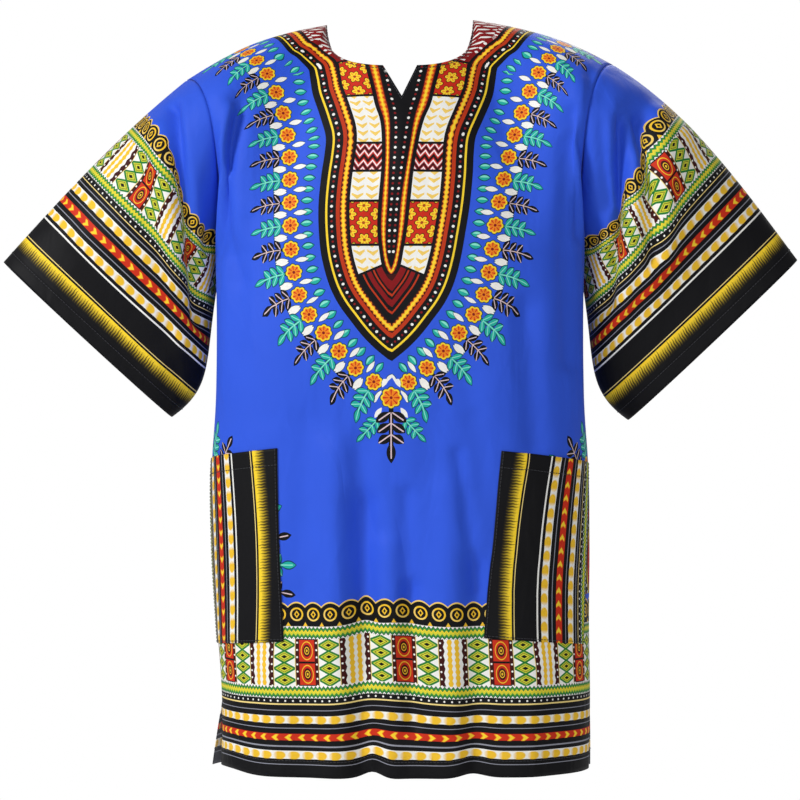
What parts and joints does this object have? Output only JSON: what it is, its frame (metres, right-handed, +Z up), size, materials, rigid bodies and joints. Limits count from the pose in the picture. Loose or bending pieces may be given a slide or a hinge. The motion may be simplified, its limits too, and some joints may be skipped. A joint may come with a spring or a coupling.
{
  "type": "dashiki shirt",
  "caption": "Loose short-sleeved pullover shirt of printed cotton, hollow as worn, with a slit round neck, wide dropped sleeves, side vents and two patch pockets.",
  "frame": {"origin": "middle of the neck at the height of the shoulder seams, where the wearer carries the shirt", "axes": "+X to the wearer's left, along the span of the sleeves; +Y to the back; +Z up"},
  "size_m": [0.793, 0.2356, 0.7452],
  "materials": {
    "body_cloth": "royal blue plain-woven cotton with a multicoloured print",
    "sleeve_cloth": "royal blue plain-woven cotton with a striped border print",
    "pocket_cloth": "black plain-woven cotton with upright printed stripes"
  },
  "bodies": {
    "root": {"front": "body_cloth", "back": "body_cloth", "sleeve_right": "sleeve_cloth", "sleeve_left": "sleeve_cloth", "pocket_right": "pocket_cloth", "pocket_left": "pocket_cloth"}
  },
  "joints": []
}
